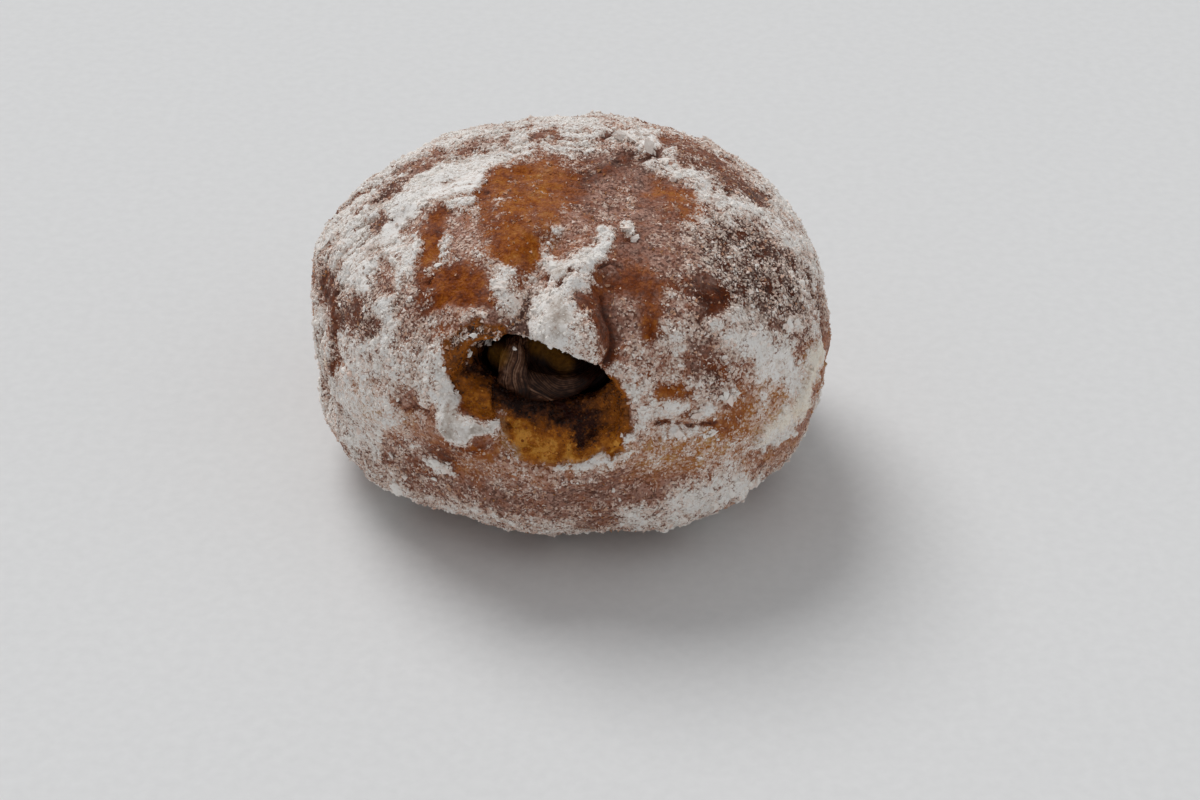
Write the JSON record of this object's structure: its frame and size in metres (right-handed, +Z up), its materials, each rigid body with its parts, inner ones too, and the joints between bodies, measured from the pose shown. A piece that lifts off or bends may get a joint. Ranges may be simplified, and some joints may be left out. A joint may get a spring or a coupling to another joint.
{
  "type": "filled doughnut",
  "caption": "Round fried doughnut dusted with powdered sugar, torn open at the front, with chocolate cream showing in the mouth.",
  "frame": {"origin": "under the middle of the doughnut, on the surface it rests on", "axes": "+Z up, -Y out of the torn mouth, +X to the right as seen from the mouth's side"},
  "size_m": [0.0902, 0.0848, 0.0558],
  "materials": {
    "crust": "browned fried crust under matt powdered sugar",
    "cream": "dark chocolate cream, soft gloss"
  },
  "bodies": {
    "root": {"dough": "crust", "filling": "cream"}
  },
  "joints": []
}
